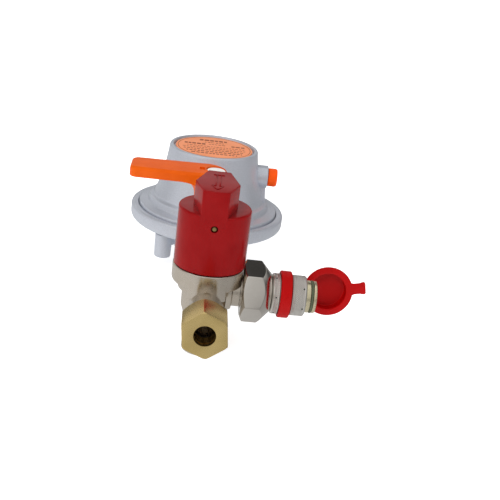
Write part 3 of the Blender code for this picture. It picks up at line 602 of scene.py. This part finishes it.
def make_valve_body():
    pipe = turned(
        [
            (4.0, -66.2),
            (6.8, -66.2),
            (6.8, -84.0),
            (8.5, -84.0, 0.4),
            (8.5, -41.3, 0.4),
            (6.3, -41.3),
            (6.3, -33.4, 0.3),
            (4.0, -33.4),
        ],
        AT_PIPE,
    )
    tower = turned(
        [
            (0.0, PIPE_Z + 5.0),
            (7.4, PIPE_Z + 5.0),
            (7.4, 30.0, 0.5),
            (5.2, 30.0, 0.1),
            (5.2, 22.8),
            (3.4, 22.8),
            (3.4, 18.9),
            (0.0, 18.9),
        ],
        AT_SPINDLE,
    )
    return joined(pipe, tower)


def make_tailpiece():
    return turned(
        [
            (4.0, -103.8),
            (6.1, -103.8),
            (6.1, -90.0),
            (8.5, -90.0, 0.4),
            (8.5, -84.3, 0.4),
            (6.5, -84.3),
            (6.5, -80.9),
            (4.0, -80.9),
        ],
        AT_PIPE,
    )


def make_gland():
    head = prism(hexagon(14.0, 0.0, 0.4), 30.3, 36.5, AT_SPINDLE)
    chamfer = turned([(0.0, 30.3), (7.9, 30.3), (7.9, 35.6), (6.9, 36.5), (0.0, 36.5)], AT_SPINDLE)
    head = common(head, chamfer)
    body = union(head, rod(4.9, 25.2, 31.0, AT_SPINDLE))
    return soften(cut(body, rod(3.35, 24.0, 38.0, AT_SPINDLE)), 0.15, 2)


def make_lever():
    """A flat arm with rounded edges, whose underside curves down into a skirt around the gland."""
    top, low, half = 67.2, 62.6, 8.6
    skirt_low, flare, grip_end = 44.0, 7.4, -36.7
    outline = arc((-3.8, 0.0), half, -90, 90, 24)
    outline += [(grip_end, 7.3, 3.2), (grip_end, -half, 3.2)]
    arm = soften(prism(outline, low, top, AT_SPINDLE, 8), 1.4, 6, 50, top - 0.1)
    arm = soften(arm, 0.4, 3, 50)
    profile = [(0.0, skirt_low), (half, skirt_low, 0.4)]
    profile += arc((half + flare, low - flare), flare, 180, 90, 16)
    profile += [(half + flare, low + 1.0), (0.0, low + 1.0)]
    skirt = turned(profile, AT_SPINDLE)
    side = half - 0.02
    plan = [(-18.0, -side), (4.75, -side), (4.75, side), (-18.0, side)]
    keep = prism(plan, 43.0, 65.0, AT_SPINDLE)
    body = union(arm, common(skirt, keep))
    hollow = turned(
        [
            (0.0, 43.0),
            (6.9, 43.0),
            (6.9, 56.5, 0.5),
            (3.3, 58.5),
            (3.3, 62.1),
            (4.4, 62.1),
            (4.4, 68.0),
            (0.0, 68.0),
        ],
        AT_SPINDLE,
    )
    slot = box((-7.2, VALVE_Y - 2.4, 66.4), (-4.9, VALVE_Y + 1.6, 68.0))
    return cut(body, hollow, slot)


def make_lever_cover():
    return turned([(0.0, 64.8), (4.05, 64.8), (4.05, 66.9, 0.5), (0.0, 66.9)], AT_SPINDLE)


piece("inlet_spigot", make_inlet(), BRASS, "regulator", ["inlet_connector"])
piece("shutoff_body", make_valve_body(), NICKEL, "regulator", ["valve_body"])
piece("shutoff_tail", make_tailpiece(), NICKEL, "regulator", ["valve_tailpiece"])
piece("gland", make_gland(), BRASS, "regulator", ["gland_nut"])
piece("lever_grip", make_lever(), ORANGE, "lever", ["lever_handle"])
piece("lever_cap", make_lever_cover(), WHITE, "lever", ["lever_cover"])


# ---------------------------------------------------------------- valve block and red cap


def make_block():
    """The turned body with its front pad, foot, pipe socket, outlet thread and side port."""
    core = turned(
        [
            (0.0, 14.0),
            (7.4, 14.0),
            (8.9, 19.0, 2.0),
            (9.8, 21.5, 2.0),
            (9.8, 28.6, 1.0),
            (11.8, 29.8, 0.6),
            (11.8, 33.0, 0.3),
            (14.6, 33.0, 1.1),
            (14.6, 40.2, 0.5),
            (11.3, 40.2, 0.2),
            (11.3, 46.5, 0.5),
            (5.2, 46.5),
            (5.2, 20.5),
            (2.9, 20.5),
            (2.9, 15.0),
            (0.0, 15.0),
        ],
        AT_BLOCK,
        arcs=6,
    )
    union_nut_room = rod(13.4, 13.6, 20.0, AT_COUPLING)
    core = cut(core, union_nut_room)
    half_pad = [(7.6, -10.0), (7.6, -12.6, 1.2), (4.0, -14.4, 6.0)]
    pad_outline = [(-x, *rest) for x, *rest in half_pad] + half_pad[::-1]
    pad = soften(prism(pad_outline, 29.4, 40.2, AT_BLOCK), 0.6, 4, 50)
    at_foot = Matrix.Translation((0, BLOCK_Y + 3.2, 0))
    foot = turned([(0.0, 0.0), (7.8, 0.0, 0.5), (7.8, 18.0), (0.0, 18.0)], at_foot)
    rear = turned([(6.4, -104.4), (8.3, -104.4), (8.3, -90.6, 0.4), (6.4, -90.6, 0.2)], AT_PIPE)
    thread = [(4.2, -121.0), (6.5, -121.0), (6.5, -136.3, 0.2), (6.8, -137.4)]
    for turn in range(5):
        low = -138.2 - turn * 1.5
        thread += [(6.8, low, 0.1), (6.1, low - 0.7, 0.15), (6.8, low - 1.4, 0.1)]
    thread += [(6.3, -147.5), (6.2, -147.5), (4.4, -142.0), (4.2, -139.5)]
    front = turned(thread, AT_OUTLET, arcs=2)
    side = turned(
        [
            (3.0, 8.0),
            (8.2, 8.0),
            (8.2, 10.3, 0.5),
            (6.75, 10.3, 0.3),
            (6.75, 13.4),
            (6.5, 13.6),
            (6.5, 20.1, 0.3),
            (3.0, 20.1),
        ],
        AT_COUPLING,
    )
    return joined(core, pad, foot, rear, front, side)


def make_red_cap():
    """The round shell and the flat-sided head, both drilled for the lock pin."""
    shell = turned(
        [
            (11.7, 40.5),
            (14.4, 40.5, 0.35),
            (14.4, 64.5, 0.9),
            (5.0, 64.5),
            (5.0, 62.0),
            (11.7, 62.0),
        ],
        AT_BLOCK,
        144,
    )
    front_r, half_front = 14.42, 5.1
    outline = []
    for index in range(9):
        x = -half_front + 2 * half_front * index / 8
        outline.append((x, -math.sqrt(front_r**2 - x * x)))
    outline += [(8.7, -1.8, 0.6), (4.6, 13.1, 0.6), (-4.6, 13.1, 0.6), (-8.7, -1.8, 0.6)]
    head = soften(prism(outline, 60.0, 74.75, AT_HEAD, 4), 0.5, 4, 35)
    holes = [rod(1.4, -129.0, -120.0, AT_LOCK_PIN) for _ in range(2)]
    return joined(cut(shell, holes[0]), cut(head, rod(6.4, 58.0, 71.0, AT_BLOCK), holes[1]))


def bar(start, end, half, low, high):
    """A straight raised ridge on the cap's head, from start to end about the cap's axis."""
    along = (Vector(end) - Vector(start)).normalized()
    side = Vector((-along.y, along.x)) * half
    first, last = Vector(start), Vector(end)
    corners = [first - side, last - side, last + side, first + side]
    return soften(prism([(p.x, p.y) for p in corners], low, high, AT_HEAD), 0.1, 2)


def make_arrow():
    low, high = 74.6, 75.0
    strokes = [
        ((-2.2, 7.4), (2.2, 7.4)),
        ((-0.8, 7.4), (-0.8, -6.7)),
        ((0.8, 7.4), (0.8, -6.7)),
        ((-0.8, -6.5), (-2.2, -6.5)),
        ((0.8, -6.5), (2.2, -6.5)),
        ((-2.2, -6.5), (0.0, -11.0)),
        ((2.2, -6.5), (0.0, -11.0)),
    ]
    shape = None
    for start, end in strokes:
        stroke = bar(start, end, 0.3, low, high)
        shape = stroke if shape is None else joined(shape, stroke)
    return shape


def make_lock_pin():
    return turned(
        [(0.0, -127.5), (0.75, -127.4, 0.3), (1.15, -126.9, 0.3), (1.15, -124.3), (0.0, -124.3)],
        AT_LOCK_PIN,
    )


piece("block_body", make_block(), NICKEL, "regulator", ["valve_block"])
piece("cap_shell", make_red_cap(), RED, "regulator", ["red_cap"])
piece("cap_arrow", make_arrow(), RED, "regulator", [])
piece("cap_pin", make_lock_pin(), DARK_BRASS, "regulator", ["cap_lock_pin"])


# ---------------------------------------------------------------- outlet


def make_outlet_nut():
    flats = prism(hexagon(OUTLET_NUT_AF, math.radians(90), 0.35), -151.4, -137.4)
    corner = OUTLET_NUT_AF / math.sqrt(3.0)
    chamfer = turned(
        [
            (0.0, -151.4),
            (corner - 0.7, -151.4),
            (corner + 0.3, -150.6),
            (corner + 0.3, -140.4),
            (8.1, -137.4),
            (0.0, -137.4),
        ]
    )
    inside = turned(
        [
            (0.0, -152.4),
            (4.5, -152.4),
            (4.1, -151.0),
            (4.1, -149.8),
            (7.1, -149.4),
            (7.1, -136.4),
            (0.0, -136.4),
        ]
    )
    nut = soften(cut(common(flats, chamfer), inside), 0.3, 3, 22)
    nut.transform(AT_OUTLET @ Matrix.Rotation(OUTLET_NUT_TURN, 4, "Z"))
    return nut


piece("pipe_nut", make_outlet_nut(), BRASS, "outlet_nut", ["outlet_nut"])


# ---------------------------------------------------------------- test coupling


def make_union_nut():
    flats = prism(hexagon(UNION_NUT_AF, UNION_NUT_TURN, 0.5), 14.0, 26.0)
    corner = UNION_NUT_AF / math.sqrt(3.0)
    shape = turned(
        [
            (0.0, 14.0),
            (10.0, 14.0),
            (corner + 0.2, 15.4),
            (corner + 0.2, 21.2),
            (7.8, 26.0),
            (0.0, 26.0),
        ]
    )
    inside = turned([(0.0, 12.0), (6.9, 12.0), (6.9, 23.6), (5.6, 23.6), (5.6, 27.0), (0.0, 27.0)])
    nut = soften(cut(common(flats, shape), inside), 0.25, 3, 20)
    nut.transform(AT_COUPLING)
    return nut


def make_coupling_tube():
    return turned(
        [
            (3.0, 21.6),
            (6.5, 21.6),
            (6.5, 23.2),
            (5.3, 23.2),
            (5.3, 26.3),
            (5.7, 26.3),
            (5.7, 38.6),
            (4.9, 38.6),
            (4.9, 29.0),
            (3.0, 29.0),
        ],
        AT_COUPLING,
    )


def make_sleeve():
    """The knurl is real relief: two crossed sets of ridges that meet in small diamonds."""
    around, along = 406, 104
    groove_low, groove_high = 29.1, 34.4
    pitch = math.tau / 58

    def radius(angle, x):
        edge = min(x - SLEEVE_X, SLEEVE_END_X - x)
        if edge < 0.7:
            return SLEEVE_R - 0.55 * (1 - edge / 0.7) ** 1.6
        if groove_low < x < groove_high:
            inner = min(x - groove_low, groove_high - x)
            return SLEEVE_R - 0.45 * min(1.0, inner / 0.25)
        to_ends = (x - SLEEVE_X - 0.7, SLEEVE_END_X - x - 0.7)
        ends = min(*to_ends, abs(x - groove_low), abs(x - groove_high))
        share = max(0.0, min(1.0, ends / 0.35))
        lean = x / SLEEVE_R
        first = abs(((angle + lean) / pitch) % 1.0 - 0.5) * 2
        second = abs(((angle - lean) / pitch) % 1.0 - 0.5) * 2
        relief = min(1.0, 1.5 * min(first, second))
        return SLEEVE_R - 0.30 * share * (1 - relief)

    shape = bmesh.new()

    def ring(x, bore=None):
        made = []
        for index in range(around):
            angle = math.tau * index / around
            r = bore or radius(angle, x)
            made.append(shape.verts.new((r * math.cos(angle), r * math.sin(angle), x)))
        return made

    span = SLEEVE_END_X - SLEEVE_X
    loops = [ring(SLEEVE_X + span * step / along) for step in range(along + 1)]
    bores = [(6.95, SLEEVE_END_X), (6.95, 37.4), (6.4, 37.4), (6.4, 36.2)]
    bores += [(7.3, 36.2), (7.3, 28.2), (6.0, 28.2), (6.0, SLEEVE_X)]
    loops += [ring(x, bore) for bore, x in bores]
    for here, there in zip(loops, loops[1:] + loops[:1]):
        for index in range(around):
            after = (index + 1) % around
            shape.faces.new((here[index], here[after], there[after], there[index]))
    return placed(shape, AT_COUPLING)


def make_painted_pit_shade():
    """Small round pits near the sleeve's ends, drawn as flush black discs: painted shade standing in
    for the dark inside of each pit, not real holes.
    """
    shape = None
    for x in (27.8, 38.9):
        for index in range(6):
            turn = Matrix.Rotation(math.tau * index / 6 + (0.3 if x < 30 else 0.8), 4, "Z")
            place = AT_COUPLING @ Matrix.Translation((0, 0, x)) @ turn @ ALONG_X
            pit = [(0.0, 7.9), (0.32, 7.9), (0.32, SLEEVE_R, 0.05), (0.0, SLEEVE_R)]
            dot = turned(pit, place, 16)
            shape = dot if shape is None else joined(shape, dot)
    return shape


def strap_frame():
    """Own X along the coupling, own Y back along the hinge, own Z out from the coupling's axis."""
    out = Vector((0.0, math.cos(STRAP_TILT), math.sin(STRAP_TILT)))
    hinge = Vector((0.0, -math.sin(STRAP_TILT), math.cos(STRAP_TILT)))
    rows = [(1.0, 0.0, 0.0), (0.0, -hinge.y, out.y), (0.0, -hinge.z, out.z)]
    return Matrix.Translation((0, BLOCK_Y, COUPLING_Z)) @ Matrix(rows).to_4x4()


def make_tether():
    """The loop in the sleeve's groove and the strap out to the dust cap's hinge."""
    ring = [(8.2, 29.5, 0.1), (9.6, 29.5, 0.5), (9.6, 34.0, 0.5), (8.2, 34.0, 0.1)]
    strip = [(30.0, -2.8, 0.8), (40.2, -2.8), (40.2, 2.8), (30.0, 2.8, 0.8)]
    strap = prism(strip, 8.9, 10.3, strap_frame())
    under = prism([(34.6, -4.0), (41.0, -4.0), (41.0, 4.0), (34.6, 4.0)], 8.0, 9.3, strap_frame())
    return joined(turned(ring, AT_COUPLING), soften(cut(strap, under), 0.25, 3))


def make_dust_cap():
    """A flanged cup, open towards the coupling's axis, with a finger tab on its far side."""
    middle = 51.45
    low = 9.95
    lip = low + 1.2
    place = strap_frame() @ Matrix.Translation((middle, 0, 0))
    cup = turned(
        [
            (0.0, low + 5.6),
            (0.0, low + 4.4),
            (7.7, low + 4.4, 0.8),
            (7.7, low + 0.1, 0.3),
            (8.2, low, 0.2),
            (10.55, low, 0.45),
            (10.55, lip, 0.45),
            (8.9, lip, 0.4),
            (8.9, low + 5.6, 0.8),
        ],
        place,
        128,
    )
    half_tab = [(9.7, 2.8), (11.2, 2.3, 1.0), (13.4, 2.3, 1.5), (16.1, 2.9, 0.8)]
    tab_outline = [(p[0], -p[1], *p[2:]) for p in half_tab] + half_tab[::-1]
    tab_place = place @ Matrix.Rotation(DUST_TAB_TURN, 4, "Z")
    tab = soften(prism(tab_outline, low + 0.02, lip - 0.02, tab_place), 0.3, 3, 35)
    return joined(cup, cut(tab, rod(8.5, 0.0, 30.0, place)))


def make_nipple():
    return turned(
        [
            (2.2, 31.0),
            (4.6, 31.0),
            (4.6, 34.6),
            (4.1, 35.0),
            (4.1, 37.0),
            (4.6, 37.4),
            (4.6, 38.9),
            (6.6, 38.9, 0.2),
            (6.6, 42.1, 0.25),
            (5.8, 42.1, 0.15),
            (5.8, 43.3, 0.15),
            (6.6, 43.3, 0.2),
            (6.6, 44.4, 0.3),
            (6.2, 44.6, 0.15),
            (3.1, 44.6, 0.2),
            (3.1, 41.4),
            (2.4, 41.0),
            (2.4, 40.6),
            (3.3, 40.2),
            (3.3, 34.2),
            (2.2, 34.2),
        ],
        AT_COUPLING,
    )


def make_o_ring():
    profile = []
    for index in range(20):
        angle = index * math.tau / 20
        profile.append((6.36 + 0.38 * math.cos(angle), 42.7 + 0.46 * math.sin(angle)))
    return turned(profile, AT_COUPLING)


piece("side_nut", make_union_nut(), POLISHED, "union_nut", ["union_nut"])
piece("coupling_tube", make_coupling_tube(), POLISHED, "regulator", ["coupling_body"])
piece("knurled_sleeve", make_sleeve(), SLEEVE, "sleeve", ["coupling_sleeve"], 50.0)
# Flush black discs on the sleeve: painted shade for its pits.
piece("sleeve_pit_shade", make_painted_pit_shade(), BLACK, "sleeve", [])
piece("tether_strap", make_tether(), RUBBER_RED, "tether", ["cap_tether"])
piece("dust_cup", make_dust_cap(), RUBBER_RED, "dust_cap", ["dust_cap"])
piece("nipple_turning", make_nipple(), PALE_BRASS, "regulator", ["coupling_nipple"])
piece("nipple_ring", make_o_ring(), RING_RUBBER, "regulator", ["nipple_o_ring"])


# ---------------------------------------------------------------- studio


def make_floor():
    shape = bmesh.new()
    bmesh.ops.create_grid(shape, x_segments=1, y_segments=1, size=6000.0)
    made = Recipe("floor_paper", 0.0, 0.9, specular=0.1)
    made.tones(made.noise(30.0, 2.0), (0.90, 0.90, 0.90), (0.91, 0.91, 0.91))
    made.shader.inputs["Emission Color"].default_value = (1.0, 1.0, 1.0, 1.0)
    made.shader.inputs["Emission Strength"].default_value = 0.62
    floor = finish_mesh("floor", shape, made.made)
    floor.location.z = -0.0004
    floor.visible_glossy = False


def make_light(name, where, aim, size, power):
    """A rectangular area light; places and sizes in metres."""
    data = bpy.data.lights.new(name, "AREA")
    data.shape = "RECTANGLE"
    data.size, data.size_y = size
    data.energy = power
    light = bpy.data.objects.new(name, data)
    light.location = where
    direction = Vector(aim) - Vector(where)
    light.rotation_euler = direction.to_track_quat("-Z", "Y").to_euler()
    light.visible_glossy = False
    bpy.context.collection.objects.link(light)


def make_world():
    """A white tent, darker to the right and near the horizon, with a dark strip high at the back."""
    world = bpy.data.worlds.new("studio")
    bpy.context.scene.world = world
    world.use_nodes = True
    nodes, links = world.node_tree.nodes, world.node_tree.links
    split = nodes.new("ShaderNodeSeparateXYZ")
    links.new(nodes.new("ShaderNodeTexCoord").outputs["Generated"], split.inputs[0])

    def spread(axis, start, end, low=0.0, high=1.0):
        node = nodes.new("ShaderNodeMapRange")
        node.inputs["From Min"].default_value = start
        node.inputs["From Max"].default_value = end
        node.inputs["To Min"].default_value = low
        node.inputs["To Max"].default_value = high
        links.new(split.outputs[axis], node.inputs["Value"])
        return node.outputs["Result"]

    def greys(stops):
        node = nodes.new("ShaderNodeValToRGB")
        elements = node.color_ramp.elements
        while len(elements) < len(stops):
            elements.new(0.5)
        for element, (position, grey) in zip(elements, stops):
            element.position = position
            element.color = (grey, grey, grey, 1.0)
        links.new(spread("Z", -1.0, 1.0), node.inputs["Fac"])
        return node.outputs["Color"]

    front = greys([(0.0, 0.62), (0.40, 0.62), (0.49, 0.30), (0.53, 0.30), (0.60, 0.64), (1.0, 0.75)])
    back_stops = [(0.0, 0.60), (0.34, 0.62), (0.45, 0.50), (0.51, 0.14), (0.57, 0.12)]
    back_stops += [(0.64, 0.75), (0.72, 0.75), (0.77, 0.06), (0.90, 0.06), (0.95, 0.9)]
    mixed = nodes.new("ShaderNodeMix")
    mixed.data_type = "RGBA"
    links.new(spread("Y", -0.2, 0.2), mixed.inputs["Factor"])
    links.new(front, mixed.inputs["A"])
    links.new(greys(back_stops), mixed.inputs["B"])
    links.new(mixed.outputs["Result"], nodes["Background"].inputs["Color"])
    links.new(spread("X", -0.7, 0.8, 1.12, 0.62), nodes["Background"].inputs["Strength"])


def make_camera():
    """The photograph's camera: above the outlet end, looking along the pipe, rolled a little."""
    data = bpy.data.cameras.new("camera")
    data.sensor_width = 36.0
    data.lens = 62.29368
    data.clip_start, data.clip_end = 0.01, 50.0
    yaw, pitch, roll = 0.086, 0.380, 0.133
    reach, drop = math.cos(pitch), -math.sin(pitch)
    ahead = Vector((math.sin(yaw) * reach, math.cos(yaw) * reach, drop))
    level = Vector((math.cos(yaw), -math.sin(yaw), 0.0))
    lift = level.cross(ahead)
    right = level * math.cos(roll) + lift * math.sin(roll)
    up = -level * math.sin(roll) + lift * math.cos(roll)
    place = Matrix((right, up, -ahead)).transposed().to_4x4()
    place.translation = Vector((-11.99, -433.0, 175.65)) * MM
    camera = bpy.data.objects.new("camera", data)
    camera.matrix_world = place
    bpy.context.collection.objects.link(camera)
    bpy.context.scene.camera = camera


make_floor()
make_world()
part_middle = (0.0, -0.08, 0.03)
make_light("key", (-0.55, -0.75, 0.95), part_middle, (0.7, 0.7), 7.0)
make_light("fill", (0.8, -0.35, 0.6), part_middle, (0.5, 0.9), 2.4)
make_light("back", (-0.1, 0.7, 0.7), (0.0, -0.05, 0.03), (1.0, 0.5), 3.0)
make_camera()
bpy.context.scene.view_settings.view_transform = "Standard"
